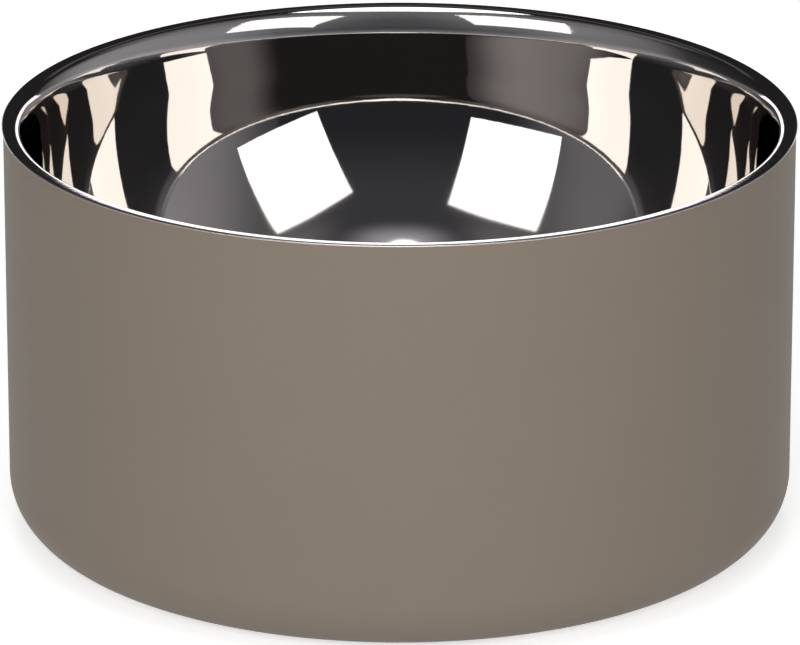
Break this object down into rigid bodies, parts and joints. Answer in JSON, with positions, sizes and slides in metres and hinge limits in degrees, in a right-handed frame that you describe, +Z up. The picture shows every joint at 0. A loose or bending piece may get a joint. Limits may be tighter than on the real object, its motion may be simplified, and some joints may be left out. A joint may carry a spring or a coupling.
{
  "type": "dog bowl",
  "caption": "Straight-sided double-wall dog bowl with a mirror-polished steel liner, a bare rolled lip, a taupe powder-coated shell and a rubber ring underneath.",
  "frame": {"origin": "centre of the resting face under the rubber ring, at table level", "axes": "+Z up through the mouth, along the axis of revolution; -Y is the side that faces the viewer"},
  "size_m": [0.2009, 0.2008, 0.108],
  "materials": {
    "polished_steel": "mirror-polished stainless steel",
    "powder_coat": "matte taupe powder coat",
    "plain_steel": "plain drawn stainless steel",
    "rubber": "matte moulded rubber"
  },
  "bodies": {
    "root": {"inner_bowl": "polished_steel", "outer_shell": "powder_coat", "base_plate": "plain_steel", "non_slip_ring": "rubber"}
  },
  "joints": []
}
